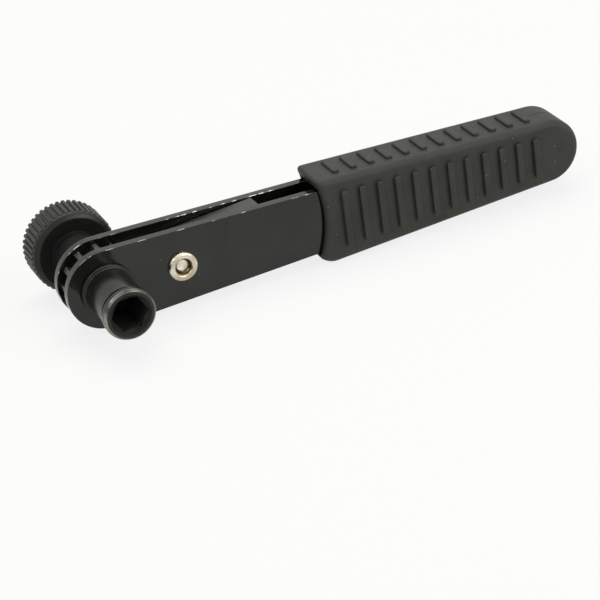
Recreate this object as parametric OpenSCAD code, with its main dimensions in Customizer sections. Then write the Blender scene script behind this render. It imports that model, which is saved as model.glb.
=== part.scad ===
// Low-profile offset ratchet driver for quarter-inch hex bits.
// Origin at the centre of the socket mouth. X runs to the grip, Y from the mouth to the knob, Z up.

/* [Side plates] */
// Thickness of each steel side plate
plate_t = 1.7; // [1.4:0.1:2.2]
// Clear gap between the two side plates
plate_gap = 4.2; // [4:0.1:5]
// Radius of the round head end about the socket axis
head_r = 8.1; // [7.8:0.1:9]
// Length from the socket axis to the rear end of the plates
plate_len = 88; // [84:0.5:91]
// Half height of the plates at their rear end
plate_rear_half = 5.1; // [4.6:0.1:5.5]
// Corner radius at the rear end of the plates
plate_corner_r = 1.5; // [0.5:0.1:3]

/* [Bit socket] */
// Size across flats of the bit that goes in
bit_af = 6.35; // [5:0.05:6.35]
// Play across flats between the bit and the socket
bit_play = 0.1; // [0.05:0.01:0.2]
// Depth of the hexagon
socket_depth = 9.5; // [7:0.1:11]
// Depth of the drill point below the hexagon
drill_point = 1; // [0.5:0.1:1.2]
// Distance from the mouth to the near plate
socket_reach = 12.5; // [12:0.1:15]
// Radius of the barrel
barrel_r = 4.8; // [4.6:0.1:5]
// Radius of the lip at the mouth
lip_r = 5.2; // [5:0.1:5.6]
// Length of the lip
lip_len = 1.6; // [1.2:0.1:2]
// Rounding of the lip's outer edge
lip_round = 0.7; // [0.3:0.1:0.9]
// Radius of the lead-in cone at the mouth
lead_in_r = 4.1; // [3.9:0.1:4.3]
// Depth of the lead-in cone
lead_in_h = 0.8; // [0.4:0.1:1]
// Radius of the thrust collar against the near plate
collar_r = 5.4; // [5.1:0.1:6]
// Thickness of the thrust collar
collar_t = 0.9; // [0.6:0.1:1.2]

/* [Bit retaining ring] */
// Width of the ring groove behind the lip
ring_groove_w = 1; // [0.9:0.05:1.2]
// Floor radius of the ring groove, which breaks into the corners of the hexagon
ring_groove_r = 3.5; // [3.4:0.05:3.6]
// Wire diameter of the ring
ring_wire = 0.84; // [0.6:0.02:0.86]
// Gap between the ends of the ring
ring_gap = 2.4; // [1:0.1:4]
// Clearance between the ring and the groove floor
ring_play = 0.02; // [0.01:0.01:0.05]

/* [Spindle] */
// Radius of the journal in the near plate
near_journal_r = 4.2; // [4.1:0.05:4.5]
// Size across flats of the hexagon that drives the gear
gear_drive_af = 7; // [6.9:0.05:7.1]
// Radius of the journal in the far plate
far_journal_r = 3.4; // [3.2:0.05:3.44]
// Radial running clearance of the journals
journal_play = 0.05; // [0.02:0.01:0.1]
// End float of the spindle
end_float = 0.1; // [0.05:0.01:0.2]
// Size across flats of the spindle tail in the knob
tail_af = 5.2; // [4.8:0.05:5.5]
// Length of the spindle tail inside the knob
tail_in_knob = 4.8; // [3:0.1:5.5]

/* [Thrust washer and clip] */
// Radius of the thrust washer
washer_r = 5.2; // [4.8:0.1:6]
// Thickness of the thrust washer
washer_t = 0.6; // [0.4:0.1:0.8]
// Radius of the retaining clip
clip_r = 4.9; // [4.4:0.1:5.4]
// Thickness of the retaining clip
clip_t = 0.6; // [0.5:0.05:0.8]
// Floor radius of the clip groove
clip_groove_r = 2.7; // [2.5:0.05:2.9]
// Width of the opening in the clip
clip_mouth = 3.4; // [2.6:0.1:4]
// Thickness of the land behind the clip groove
land_t = 0.6; // [0.5:0.1:1]
// Clearance of the clip in its groove
clip_play = 0.02; // [0.01:0.01:0.05]

/* [Ratchet gear] */
// Number of teeth
tooth_count = 12; // [12:12:12]
// Radius over the tooth tips
gear_tip_r = 7.35; // [7.3:0.01:7.4]
// Radius at the tooth roots
gear_root_r = 5.9; // [5.6:0.05:6]
// Width of a tooth at its tip
tooth_tip_w = 0.9; // [0.6:0.05:1]
// Width of a tooth at its root
tooth_root_w = 2; // [1.6:0.05:2.1]
// Direction of the tooth next to the top of the head, in degrees
tooth_phase = 87; // [86:0.5:88]
// Gap between the gear and each plate
gear_side_play = 0.2; // [0.1:0.05:0.4]
// Clearance of the gear on the drive hexagon
gear_bore_play = 0.02; // [0.01:0.01:0.05]

/* [Reversing lever] */
// Distance from the socket axis to the lever pivot
pivot_x = 15.4; // [15.2:0.05:15.6]
// Gap between the lever and each plate
lever_side_play = 0.3; // [0.15:0.05:0.5]
// Half of the swing between the two settings, in degrees
lever_swing = 5.5; // [5.3:0.1:5.7]
// Half height of the lever at the pivot
lever_half = 5.7; // [5.4:0.05:5.9]
// Length from the pivot to the tail corners
lever_tail = 18.8; // [17.5:0.1:19.2]
// Half height of the lever at the tail corners
lever_tail_half = 5.2; // [4.8:0.05:5.3]
// Height of the ridge between the two detent flats
lever_ridge = 1.4; // [1:0.1:1.6]
// Corner radius of the tail
lever_corner_r = 1.2; // [0.5:0.1:1.5]
// Radius from the gear centre to the engaged nose
nose_r = 6.35; // [6.3:0.01:6.5]
// Direction of the engaged nose from the gear centre, in degrees
nose_angle = 45; // [44.5:0.5:45.5]
// Width of a nose at its tip
nose_tip_w = 0.6; // [0.4:0.05:0.7]
// Gap between the lever's hollow front and the tooth tips
cradle_gap = 0.3; // [0.25:0.05:0.4]
// Thickness of the arm behind a nose
nose_arm_t = 0.85; // [0.7:0.05:0.95]
// Radial running clearance of the lever on its bush
lever_play = 0.05; // [0.02:0.01:0.1]

/* [Pivot rivet] */
// Radius of the rivet shank
rivet_r = 2.2; // [2.1:0.05:2.4]
// Outer radius of the rolled rim
rim_r = 3; // [2.9:0.05:3.3]
// Height of the rolled rim
rim_h = 0.9; // [0.6:0.1:1]
// Radius of the hollow at the rolled rim
rivet_hollow_r = 1.7; // [1.5:0.05:1.85]
// Radius of the hollow's floor
rivet_floor_r = 1.1; // [0.8:0.05:1.4]
// Depth of the hollow below the top of the rim
rivet_hollow_depth = 1.2; // [1:0.1:2.4]
// Radius of the factory head on the far side
rivet_head_r = 3.3; // [2.8:0.1:3.6]
// Height of the factory head
rivet_head_h = 0.9; // [0.6:0.1:1.2]
// Wall of the bush around the rivet
bush_wall = 0.8; // [0.6:0.05:1]
// Clearance of a rivet in its holes
rivet_play = 0.02; // [0.01:0.01:0.05]

/* [Spacer block and rear spacer] */
// Distance from the socket axis to the front of the block
block_x = 46.5; // [45.5:0.5:48]
// Length of the block
block_len = 14; // [12:0.5:16]
// Half height of the block
block_half = 4.6; // [4.4:0.1:5]
// Distance from the front of the block to its first rivet
block_rivet_in = 3.2; // [3:0.1:3.5]
// Distance between the two block rivets
block_rivet_pitch = 7.6; // [6:0.1:8]
// Height of the block rivets above the middle
block_rivet_z = 1.2; // [0.6:0.1:1.6]
// Radius of the flush rivets
flush_rivet_r = 1.5; // [1.2:0.1:1.7]
// Radius of the flush rivets' countersunk heads
flush_head_r = 2.3; // [2:0.1:2.5]
// Depth of the countersunk heads
flush_head_h = 0.8; // [0.5:0.1:1]
// Distance from the rear end of the plates to the rear spacer
rear_in = 9; // [7:0.5:12]
// Outer radius of the rear spacer
rear_spacer_r = 2.8; // [2.6:0.1:3.4]

/* [Detent spring] */
// Thickness of the spring strip
spring_t = 0.45; // [0.3:0.05:0.5]
// Width of the spring strip
spring_w = 3.2; // [2.6:0.1:3.6]
// Length of the strip held in the block
spring_held = 6; // [4:0.1:7]
// Height of the held strip below the middle
spring_drop = 3.2; // [3:0.1:3.5]
// Distance from the socket axis to the bend of the strip
spring_bend_x = 40.6; // [39.5:0.1:42]
// Radius of the rounded spring nose
spring_nose_r = 0.6; // [0.4:0.05:0.7]
// Gap between the spring nose and the lever tail
spring_gap = 0.1; // [0.05:0.05:0.3]
// Length of the strip past the nose
spring_tip_len = 3.2; // [2:0.1:3.6]
// Angle of the strip past the nose, in degrees
spring_tip_angle = 50; // [45:1:60]
// Clearance of the strip in the block's slot
spring_play = 0.02; // [0.01:0.01:0.05]

/* [Knob] */
// Distance from the far plate to the front face of the knob
knob_gap = 10.7; // [9:0.1:13]
// Thickness of the knob
knob_t = 7.4; // [6.5:0.1:9]
// Radius over the knurl ridges
knob_r = 8.65; // [8:0.05:9.5]
// Radius of the front face
knob_face_r = 7.45; // [7:0.05:7.9]
// Length of the smooth shoulder in front of the knurl
knob_shoulder = 1.3; // [0.8:0.1:2]
// Chamfer of the back edge
knob_back_chamfer = 0.5; // [0.2:0.1:0.8]
// Radius of the shallow dish in the back face
knob_dish_r = 5.8; // [4.5:0.1:6.5]
// Depth of the dish
knob_dish_depth = 0.5; // [0.2:0.1:0.8]
// Number of knurl ridges
knurl_count = 44; // [36:2:52]
// Depth of the grooves between the ridges
knurl_depth = 0.4; // [0.2:0.05:0.6]
// Share of the knurl pitch that is the crest of a ridge
knurl_crest = 0.34; // [0.2:0.02:0.4]
// Share of the knurl pitch that is the floor of a groove
knurl_floor = 0.2; // [0.1:0.02:0.3]
// Radius of the hub
hub_r = 4.6; // [4.2:0.1:5.2]
// Clearance of the spindle tail in the knob
tail_play = 0.02; // [0.01:0.01:0.05]

/* [Grip] */
// Distance from the socket axis to the deepest point of the hollow front edge
grip_front = 45.4; // [44:0.1:46]
// Radius of the hollow front edge
grip_scoop_r = 24; // [20:0.5:40]
// Height of the deepest point of the front edge above the middle
grip_scoop_z = 1.9; // [0:0.1:2.5]
// Corner radius at the bottom of the front edge
grip_heel_r = 4.2; // [3:0.1:5]
// Distance that the bottom corner reaches past the deepest point
grip_heel_reach = 2.8; // [2.4:0.1:3.2]
// Distance from the rear end of the plates to the centre of the round tail
grip_tail_past = 7.1; // [5.5:0.1:11]
// Radius of the round tail
grip_tail_r = 6.7; // [6.3:0.1:7.4]
// Half height of the grip at the front edge
grip_front_half = 9.05; // [8.8:0.05:10]
// Width of the grip
grip_w = 11.2; // [11:0.1:13]
// Edge radius of the grip
grip_edge_r = 2; // [1.4:0.1:2.4]
// Gap between the sleeve and the edges of the plates
sleeve_play = 0.15; // [0.05:0.05:0.3]
// Gap between the sleeve and the faces of the plates
sleeve_side_play = 0.02; // [0.01:0.01:0.1]
// Extra gap at the mouth of the sleeve
mouth_relief = 0.4; // [0.2:0.05:0.5]
// Length of the wider mouth
mouth_len = 2.4; // [1.5:0.1:4]

/* [Grip ribs] */
// Number of ribs on each face
rib_count = 12; // [8:1:12]
// Distance from the deepest point of the front edge to the first rib
rib_first_in = 4.25; // [4:0.05:5.5]
// Distance from the last rib to the centre of the round tail
rib_last_in = 3.2; // [1.5:0.1:5]
// Width of a rib
rib_w = 1.4; // [1.3:0.05:2.2]
// Height of a rib
rib_h = 0.6; // [0.3:0.05:0.8]
// Corner radius of a rib's ends
rib_corner_r = 0.45; // [0.3:0.05:0.5]
// Half length of the first rib on the side faces
rib_half_front = 6; // [4.5:0.1:6.4]
// Half length of the last rib on the side faces
rib_half_rear = 4.2; // [3.5:0.1:4.4]
// Half length of the ribs on the edge faces
edge_rib_half = 3; // [2.4:0.1:3.4]

/* [Hidden] */
round_fn = 96;
edge_fn = 24;
cut = 0.2;
blend = 0.004;
near_out = socket_reach;
near_in = near_out + plate_t;
far_in = near_in + plate_gap;
far_out = far_in + plate_t;
mid_y = near_in + plate_gap / 2;
plate_reach = norm([plate_len, plate_rear_half]);
plate_touch = atan2(plate_rear_half, plate_len) + acos((head_r - blend) / plate_reach);
plate_slope = 90 - plate_touch;
rear_x = plate_len - rear_in;
hex_r = (bit_af + bit_play) / sqrt(3);
ring_mid_r = ring_groove_r + ring_play + ring_wire / 2;
ring_mid_y = lip_len + ring_groove_w / 2;
gear_y = near_in + gear_side_play;
gear_t = plate_gap - 2 * gear_side_play;
washer_y = far_out + end_float;
clip_y = washer_y + washer_t;
clip_groove_w = clip_t + 2 * clip_play;
hub_y = clip_y + clip_groove_w + land_t;
knob_y = far_out + knob_gap;
tail_end = knob_y + tail_in_knob;
knurl_y = knob_y + knob_shoulder;
knob_end = knob_y + knob_t;
bush_r = rivet_r + rivet_play + bush_wall;
lever_y = near_in + lever_side_play;
lever_t = plate_gap - 2 * lever_side_play;
cradle_r = gear_tip_r + cradle_gap;
tip_angle = asin(nose_tip_w / 2 / nose_r);
nose_front_angle = 4.5;
nose_back_angle = 6.5;
arm_angle = 4;
corner_step = 22.5;
cradle_step = 4;
heel_step = 18;
flat_half = lever_tail_half - lever_corner_r;
flat_angle = lever_swing - atan2(lever_ridge, flat_half);
flat_x = pivot_x + lever_tail * cos(lever_swing) + flat_half * sin(lever_swing);
flat_z = lever_tail * sin(lever_swing) - flat_half * cos(lever_swing);
spring_nose_x = flat_x + flat_z * tan(flat_angle) + (spring_nose_r + spring_gap) / cos(flat_angle);
grip_tail_x = plate_len + grip_tail_past;
grip_run = grip_tail_x - grip_front;
grip_slope = atan2(grip_front_half, grip_run) - asin(grip_tail_r / norm([grip_run, grip_front_half]));
corner_y = grip_w / 2 - grip_edge_r;
heel_x = grip_front - grip_heel_reach + grip_heel_r;
toe_x = grip_front - 2 * grip_edge_r;
mouth_x = toe_x - grip_edge_r - cut;
rib_first_x = grip_front + rib_first_in;
rib_pitch = (grip_tail_x - rib_last_in - rib_first_x) / (rib_count - 1);

// Half height of the plates at a distance from the socket axis
function plate_half(x) = (head_r - blend) / cos(plate_slope) - x * tan(plate_slope);

// Height of the grip's edge face at a distance from the socket axis
function grip_half(x) = grip_front_half - (x - grip_front) * tan(grip_slope);

// Solid of thickness t from y0, with its outline drawn in X and Z
module slab(y0, t) {
    translate([0, y0 + t, 0]) rotate([90, 0, 0]) linear_extrude(t) children();
}

// Turned solid about an axis along Y, with its profile drawn in radius and Y
module turned() {
    rotate([-90, 0, 0]) rotate_extrude($fn = round_fn) children();
}

// Rectangle of a turned profile from the axis to radius r
module step(r, y0, y1) {
    translate([0, y0]) square([r, y1 - y0]);
}

// Regular hexagon with corners along X
module hexagon(r) {
    circle(r, $fn = 6);
}

// Strip of thickness t between two points
module strip(a, b, t) {
    translate(a) rotate(atan2(b[1] - a[1], b[0] - a[0])) translate([0, -t / 2]) square([norm(b - a), t]);
}

// Bar with rounded corners, w wide and half long each way
module bar_outline(w, half) {
    square([w, 2 * (half - rib_corner_r)], center = true);
    square([w - 2 * rib_corner_r, 2 * half], center = true);
    for (sx = [-1, 1], sy = [-1, 1]) translate([sx * (w / 2 - rib_corner_r), sy * (half - rib_corner_r)])
        circle(rib_corner_r, $fn = edge_fn);
}

// Outline of a side plate: a wedge that meets the round head
module plate_outline() {
    tail = plate_len - plate_corner_r;
    front = -2 * head_r;
    intersection() {
        polygon([
            [front, plate_half(front)],
            [tail, plate_half(tail)],
            [plate_len, plate_rear_half - plate_corner_r],
            [plate_len, plate_corner_r - plate_rear_half],
            [tail, -plate_half(tail)],
            [front, -plate_half(front)]
        ]);
        union() {
            circle(head_r, $fn = round_fn);
            translate([head_r * sin(plate_slope), -2 * head_r]) square([plate_len, 4 * head_r]);
        }
    }
}

// Cone of a countersunk head that opens towards smaller y
module countersink(x, z, y, extra, flip) {
    translate([x, y, z]) rotate([flip ? 90 : -90, 0, 0])
        cylinder(r1 = flush_head_r + extra, r2 = flush_rivet_r + extra, h = flush_head_h, $fn = round_fn);
}

// Places of the flush rivets in X and Z
module at_block_rivets() {
    for (k = [0, 1]) translate([block_x + block_rivet_in + k * block_rivet_pitch, 0, block_rivet_z]) children();
}

module at_rear_rivet() {
    translate([rear_x, 0, 0]) children();
}

// Rivet with a countersunk head flush with each plate
module flush_rivet() {
    slab(near_out, far_out - near_out) circle(flush_rivet_r, $fn = round_fn);
    countersink(0, 0, near_out, 0, false);
    countersink(0, 0, far_out, 0, true);
}

// Space for a flush rivet in the plates
module flush_rivet_space() {
    slab(near_out - cut, far_out - near_out + 2 * cut) circle(flush_rivet_r + rivet_play, $fn = round_fn);
    countersink(0, 0, near_out, rivet_play, false);
    countersink(0, 0, far_out, rivet_play, true);
}

// Side plate with the holes that both plates share
module side_plate(y0, bore_r) {
    difference() {
        slab(y0, plate_t) difference() {
            plate_outline();
            circle(bore_r, $fn = round_fn);
            translate([pivot_x, 0]) circle(rivet_r + rivet_play, $fn = round_fn);
        }
        at_block_rivets() flush_rivet_space();
        at_rear_rivet() flush_rivet_space();
    }
}

module near_plate() {
    color("#2c2c2b") side_plate(near_out, near_journal_r + journal_play);
}

module far_plate() {
    color("#2c2c2b") side_plate(far_in, far_journal_r + journal_play);
}

// Semi-tubular rivet: rolled hollow rim on the near side, round-edged head on the far side
module pivot_rivet() {
    rim_round = rim_h / 2;
    head_round = rivet_head_h / 2;
    color("#d2c49c") translate([pivot_x, 0, 0]) turned() difference() {
        union() {
            step(rivet_r, near_out - rim_round, far_out + cut);
            translate([rivet_hollow_r + rim_round, near_out - rim_h])
                square([rim_r - rivet_hollow_r - rim_h, rim_h]);
            translate([rivet_hollow_r, near_out - rim_round]) square([rim_r - rivet_hollow_r, rim_round]);
            intersection() {
                step(rim_r, near_out - rim_h, near_out);
                union() {
                    translate([rivet_hollow_r + rim_round, near_out - rim_round])
                        circle(rim_round, $fn = round_fn);
                    translate([rim_r - rim_round, near_out - rim_round]) circle(rim_round, $fn = round_fn);
                }
            }
            step(rivet_head_r - head_round, far_out, far_out + rivet_head_h);
            step(rivet_head_r, far_out, far_out + head_round);
            intersection() {
                step(rivet_head_r, far_out, far_out + rivet_head_h);
                translate([rivet_head_r - head_round, far_out + head_round]) circle(head_round, $fn = round_fn);
            }
        }
        polygon([
            [0, near_out - rim_h - cut],
            [rivet_hollow_r, near_out - rim_h - cut],
            [rivet_hollow_r, near_out - rim_round],
            [rivet_floor_r, near_out - rim_h + rivet_hollow_depth],
            [0, near_out - rim_h + rivet_hollow_depth]
        ]);
    }
}

// Tube that keeps the plates apart at the pivot and carries the lever
module pivot_bush() {
    color("#8d8d88") translate([pivot_x, 0, 0]) slab(near_in, plate_gap) difference() {
        circle(bush_r, $fn = round_fn);
        circle(rivet_r + rivet_play, $fn = round_fn);
    }
}

// Place on the lever that lies at radius r and angle a from the gear centre when the upper nose is engaged
function engaged(r, a) = let (x = r * cos(a) - pivot_x, z = r * sin(a))
    [x * cos(lever_swing) + z * sin(lever_swing), z * cos(lever_swing) - x * sin(lever_swing)];

// Upper half of the lever's outline from the tail ridge to the middle of its hollow front
function lever_path() = concat(
    [[lever_tail + lever_ridge, 0]],
    [for (a = [0 : corner_step : 90]) [lever_tail, lever_tail_half]
        + lever_corner_r * [cos(a) - 1, sin(a) - 1]],
    [[0, lever_half]],
    [engaged(cradle_r + nose_arm_t, nose_angle - arm_angle)],
    [engaged(cradle_r, nose_angle + nose_front_angle)],
    [engaged(nose_r, nose_angle + tip_angle)],
    [engaged(nose_r, nose_angle - tip_angle)],
    [for (a = [nose_angle - nose_back_angle : -cradle_step : -1]) engaged(cradle_r, a)]);

// Outline of the lever about its pivot in the middle of its swing
module lever_outline() {
    upper = lever_path();
    count = len(upper);
    lower = [for (k = [count - 1 : -1 : 1]) [upper[k][0], -upper[k][1]]];
    difference() {
        polygon(concat(upper, lower));
        circle(bush_r + lever_play, $fn = round_fn);
    }
}

// Lever with a nose for each direction, tail up at rest
module reversing_lever() {
    color("#323230") slab(lever_y, lever_t) translate([pivot_x, 0]) rotate(lever_swing) lever_outline();
}

module ratchet_gear() {
    tooth_foot = gear_root_r - tooth_tip_w / 2;
    color("#3a3a38") slab(gear_y, gear_t) difference() {
        union() {
            circle(gear_root_r, $fn = round_fn);
            intersection() {
                circle(gear_tip_r, $fn = round_fn);
                for (k = [0 : tooth_count - 1]) rotate(tooth_phase - k * 360 / tooth_count) polygon([
                    [tooth_foot, -tooth_root_w / 2],
                    [gear_tip_r + cut, -tooth_tip_w / 2],
                    [gear_tip_r + cut, tooth_tip_w / 2],
                    [tooth_foot, tooth_root_w / 2]
                ]);
            }
        }
        hexagon(gear_drive_af / sqrt(3) + gear_bore_play);
    }
}

// Turned spindle with the bit socket at its front and hexagons for the gear and the knob
module bit_socket() {
    color("#262625") difference() {
        union() {
            turned() {
                step(lip_r - lip_round, 0, lip_len);
                step(lip_r, lip_round, lip_len);
                intersection() {
                    step(lip_r, 0, lip_len);
                    translate([lip_r - lip_round, lip_round]) circle(lip_round, $fn = round_fn);
                }
                step(ring_groove_r, lip_len - cut, lip_len + ring_groove_w + cut);
                step(barrel_r, lip_len + ring_groove_w, near_out - end_float);
                step(collar_r, near_out - end_float - collar_t, near_out - end_float);
                step(near_journal_r, near_out - end_float - cut, gear_y);
                step(far_journal_r, gear_y + gear_t, clip_y);
                step(clip_groove_r, clip_y - cut, clip_y + clip_groove_w + cut);
                step(far_journal_r, clip_y + clip_groove_w, hub_y);
            }
            slab(gear_y - cut, gear_t + cut) hexagon(gear_drive_af / sqrt(3));
            slab(hub_y - cut, tail_end - hub_y + cut) hexagon(tail_af / sqrt(3));
        }
        slab(-cut, socket_depth + cut) hexagon(hex_r);
        turned() polygon([
            [0, -cut],
            [lead_in_r + cut, -cut],
            [lead_in_r - lead_in_h, lead_in_h],
            [0, lead_in_h]
        ]);
        turned() polygon([
            [0, socket_depth - cut],
            [bit_af / 2, socket_depth - cut],
            [bit_af / 2, socket_depth],
            [0, socket_depth + drill_point]
        ]);
    }
}

// Open wire ring that presses on the corners of the bit
module bit_retaining_ring() {
    color("#9a9a96") difference() {
        turned() translate([ring_mid_r, ring_mid_y]) circle(ring_wire / 2, $fn = round_fn);
        translate([-ring_gap / 2, ring_mid_y - ring_wire, -2 * ring_mid_r])
            cube([ring_gap, 2 * ring_wire, 2 * ring_mid_r]);
    }
}

module thrust_washer() {
    color("#a5a5a0") slab(washer_y, washer_t) difference() {
        circle(washer_r, $fn = round_fn);
        circle(far_journal_r + journal_play, $fn = round_fn);
    }
}

// Open clip in the spindle's groove
module retaining_clip() {
    color("#8f8f8a") slab(clip_y + clip_play, clip_t) difference() {
        circle(clip_r, $fn = round_fn);
        circle(clip_groove_r + clip_play, $fn = round_fn);
        translate([-clip_mouth / 2, -2 * clip_r]) square([clip_mouth, 2 * clip_r]);
    }
}

// Outline of the knurl with a flat crest on each ridge
module knurl_outline() {
    pitch = 360 / knurl_count;
    root = knob_r - knurl_depth;
    flank = (1 - knurl_crest - knurl_floor) / 2;
    ridge = [[0, knob_r], [knurl_crest, knob_r], [knurl_crest + flank, root], [1 - flank, root]];
    polygon([for (k = [0 : knurl_count - 1], p = ridge)
        [p[1] * cos((k + p[0]) * pitch), p[1] * sin((k + p[0]) * pitch)]]);
}

// Knob and hub in one moulding on the spindle's tail
module knob() {
    shoulder_r = knob_r - knurl_depth / 2;
    color("#2e2e2c") difference() {
        union() {
            intersection() {
                slab(knurl_y - cut, knob_end - knurl_y + cut) knurl_outline();
                turned() polygon([
                    [0, knurl_y - cut],
                    [knob_r + cut, knurl_y - cut],
                    [knob_r + cut, knob_end - knob_back_chamfer - cut],
                    [knob_r - knob_back_chamfer, knob_end],
                    [0, knob_end]
                ]);
            }
            turned() polygon([
                [0, knob_y],
                [knob_face_r, knob_y],
                [shoulder_r, knurl_y - knob_shoulder / 2],
                [shoulder_r, knurl_y],
                [0, knurl_y]
            ]);
            turned() step(hub_r, hub_y, knob_y + cut);
        }
        turned() step(knob_dish_r, knob_end - knob_dish_depth, knob_end + cut);
        slab(hub_y - cut, tail_end - hub_y + cut) hexagon(tail_af / sqrt(3) + tail_play);
    }
}

// Bent strip that presses on one of the lever's two detent flats
module detent_spring() {
    bend = [spring_bend_x, -spring_drop];
    nose = [spring_nose_x, 0];
    tip = nose + spring_tip_len * [cos(spring_tip_angle), sin(spring_tip_angle)];
    color("#b4b4ae") slab(mid_y - spring_w / 2, spring_w) {
        strip([block_x + spring_held, -spring_drop], bend, spring_t);
        translate(bend) circle(spring_t / 2, $fn = round_fn);
        strip(bend, nose, spring_t);
        translate(nose) circle(spring_nose_r, $fn = round_fn);
        strip(nose, tip, spring_t);
    }
}

// Block between the plates with a slot for the spring
module spacer_block() {
    color("#6f6f6b") slab(near_in, plate_gap) difference() {
        translate([block_x, -block_half]) square([block_len, 2 * block_half]);
        for (k = [0, 1]) translate([block_x + block_rivet_in + k * block_rivet_pitch, block_rivet_z])
            circle(flush_rivet_r + rivet_play, $fn = round_fn);
        translate([block_x - cut, -spring_drop - spring_t / 2 - spring_play])
            square([spring_held + spring_play + cut, spring_t + 2 * spring_play]);
    }
}

module block_rivets() {
    color("#7a7a75") at_block_rivets() flush_rivet();
}

module rear_spacer() {
    color("#8d8d88") at_rear_rivet() slab(near_in, plate_gap) difference() {
        circle(rear_spacer_r, $fn = round_fn);
        circle(flush_rivet_r + rivet_play, $fn = round_fn);
    }
}

module rear_rivet() {
    color("#7a7a75") at_rear_rivet() flush_rivet();
}

// Rounded disc that forms the tail of the grip
module grip_tail() {
    translate([grip_tail_x, mid_y, 0]) rotate([-90, 0, 0]) rotate_extrude($fn = 2 * edge_fn) {
        translate([0, -corner_y]) square([grip_tail_r, 2 * corner_y]);
        translate([0, -grip_w / 2]) square([grip_tail_r - grip_edge_r, grip_w]);
        for (s = [-1, 1]) translate([grip_tail_r - grip_edge_r, s * corner_y]) circle(grip_edge_r, $fn = edge_fn);
    }
}

// Pair of balls that round the two edges of the grip at one place of its outline
module edge_balls(x, z) {
    for (s = [-1, 1]) translate([x, mid_y + s * corner_y, z]) sphere(grip_edge_r, $fn = edge_fn);
}

// Outer form of the grip before the front is hollowed
module grip_form() {
    heel_in = grip_heel_r - grip_edge_r;
    heel_z = grip_heel_r / cos(grip_slope) - grip_half(heel_x);
    hull() {
        grip_tail();
        edge_balls(toe_x, grip_half(toe_x) - grip_edge_r / cos(grip_slope));
        for (a = [0 : heel_step : 90]) edge_balls(heel_x - heel_in * cos(a), heel_z - heel_in * sin(a));
    }
}

// Space for the plates, with the outline grown by a gap
module sleeve_space(x0, x1, gap, side_gap) {
    slab(near_out - side_gap, far_out - near_out + 2 * side_gap) polygon([
        [x0, plate_half(x0) + gap],
        [x1, plate_half(x1) + gap],
        [x1, -plate_half(x1) - gap],
        [x0, -plate_half(x0) - gap]
    ]);
}

// Raised ribs on the four faces of the grip
module grip_ribs() {
    for (k = [0 : rib_count - 1]) {
        x = rib_first_x + k * rib_pitch;
        share = k / (rib_count - 1);
        half = rib_half_front + share * (rib_half_rear - rib_half_front);
        for (y = [mid_y - grip_w / 2 - rib_h, mid_y + grip_w / 2 - cut])
            slab(y, rib_h + cut) translate([x, 0]) bar_outline(rib_w, half);
        for (m = [0, 1]) mirror([0, 0, m]) translate([x, mid_y, grip_half(x)]) rotate([0, grip_slope, 0])
            translate([0, 0, -cut]) linear_extrude(rib_h + cut) bar_outline(rib_w, edge_rib_half);
    }
}

// Ribbed sleeve pushed over the rear of the plates
module grip() {
    color("#3b3b39") difference() {
        union() {
            grip_form();
            grip_ribs();
        }
        translate([grip_front - grip_scoop_r, mid_y - grip_w, grip_scoop_z]) rotate([-90, 0, 0])
            cylinder(r = grip_scoop_r, h = 2 * grip_w, $fn = round_fn);
        sleeve_space(mouth_x, plate_len, sleeve_play, sleeve_side_play);
        sleeve_space(mouth_x, grip_front + mouth_len, mouth_relief + sleeve_play,
            mouth_relief + sleeve_side_play);
    }
}

near_plate();
far_plate();
pivot_rivet();
pivot_bush();
reversing_lever();
ratchet_gear();
bit_socket();
bit_retaining_ring();
thrust_washer();
retaining_clip();
knob();
detent_spring();
spacer_block();
block_rivets();
rear_spacer();
rear_rivet();
grip();
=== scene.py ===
# Offset ratchet driver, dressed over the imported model
import math

import bmesh
import bpy
from mathutils import Matrix, Vector


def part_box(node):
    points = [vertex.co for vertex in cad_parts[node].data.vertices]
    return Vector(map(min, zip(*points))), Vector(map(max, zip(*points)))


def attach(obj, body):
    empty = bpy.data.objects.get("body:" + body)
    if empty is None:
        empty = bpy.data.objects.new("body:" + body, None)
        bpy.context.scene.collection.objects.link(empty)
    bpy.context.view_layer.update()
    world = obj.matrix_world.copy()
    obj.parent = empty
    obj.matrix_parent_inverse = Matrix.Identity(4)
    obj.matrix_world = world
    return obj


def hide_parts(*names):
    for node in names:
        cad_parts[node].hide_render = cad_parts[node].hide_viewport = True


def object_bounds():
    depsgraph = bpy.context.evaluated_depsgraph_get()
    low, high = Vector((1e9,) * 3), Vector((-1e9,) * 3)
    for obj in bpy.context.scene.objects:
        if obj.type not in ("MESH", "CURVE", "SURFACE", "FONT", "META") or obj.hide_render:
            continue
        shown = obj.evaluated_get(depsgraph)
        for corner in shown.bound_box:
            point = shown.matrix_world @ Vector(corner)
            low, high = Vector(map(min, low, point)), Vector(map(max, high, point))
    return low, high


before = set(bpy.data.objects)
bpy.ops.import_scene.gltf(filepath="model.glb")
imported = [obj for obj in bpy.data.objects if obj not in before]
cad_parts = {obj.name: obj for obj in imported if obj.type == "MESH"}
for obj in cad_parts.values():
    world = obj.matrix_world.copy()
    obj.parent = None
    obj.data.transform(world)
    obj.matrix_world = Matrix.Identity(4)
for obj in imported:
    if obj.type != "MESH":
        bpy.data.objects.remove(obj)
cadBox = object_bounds()
mm = 0.001
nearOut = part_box("near_plate")[0].y / mm  # outer faces of the two plates
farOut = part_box("far_plate")[1].y / mm
middleY = (nearOut + farOut) / 2
samePoint = 2e-6  # points closer than this are one point
roundSteps = 6  # segments of a rounded corner on a turned piece
creaseAngle = math.radians(32)  # a sharper turn between two faces keeps a hard edge
print("frame loaded:", len(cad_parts), "nodes")


# Shared modelling steps
def mergeAndFace(bm):
    bmesh.ops.remove_doubles(bm, verts=bm.verts, dist=samePoint)
    bmesh.ops.recalc_face_normals(bm, faces=bm.faces)


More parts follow.
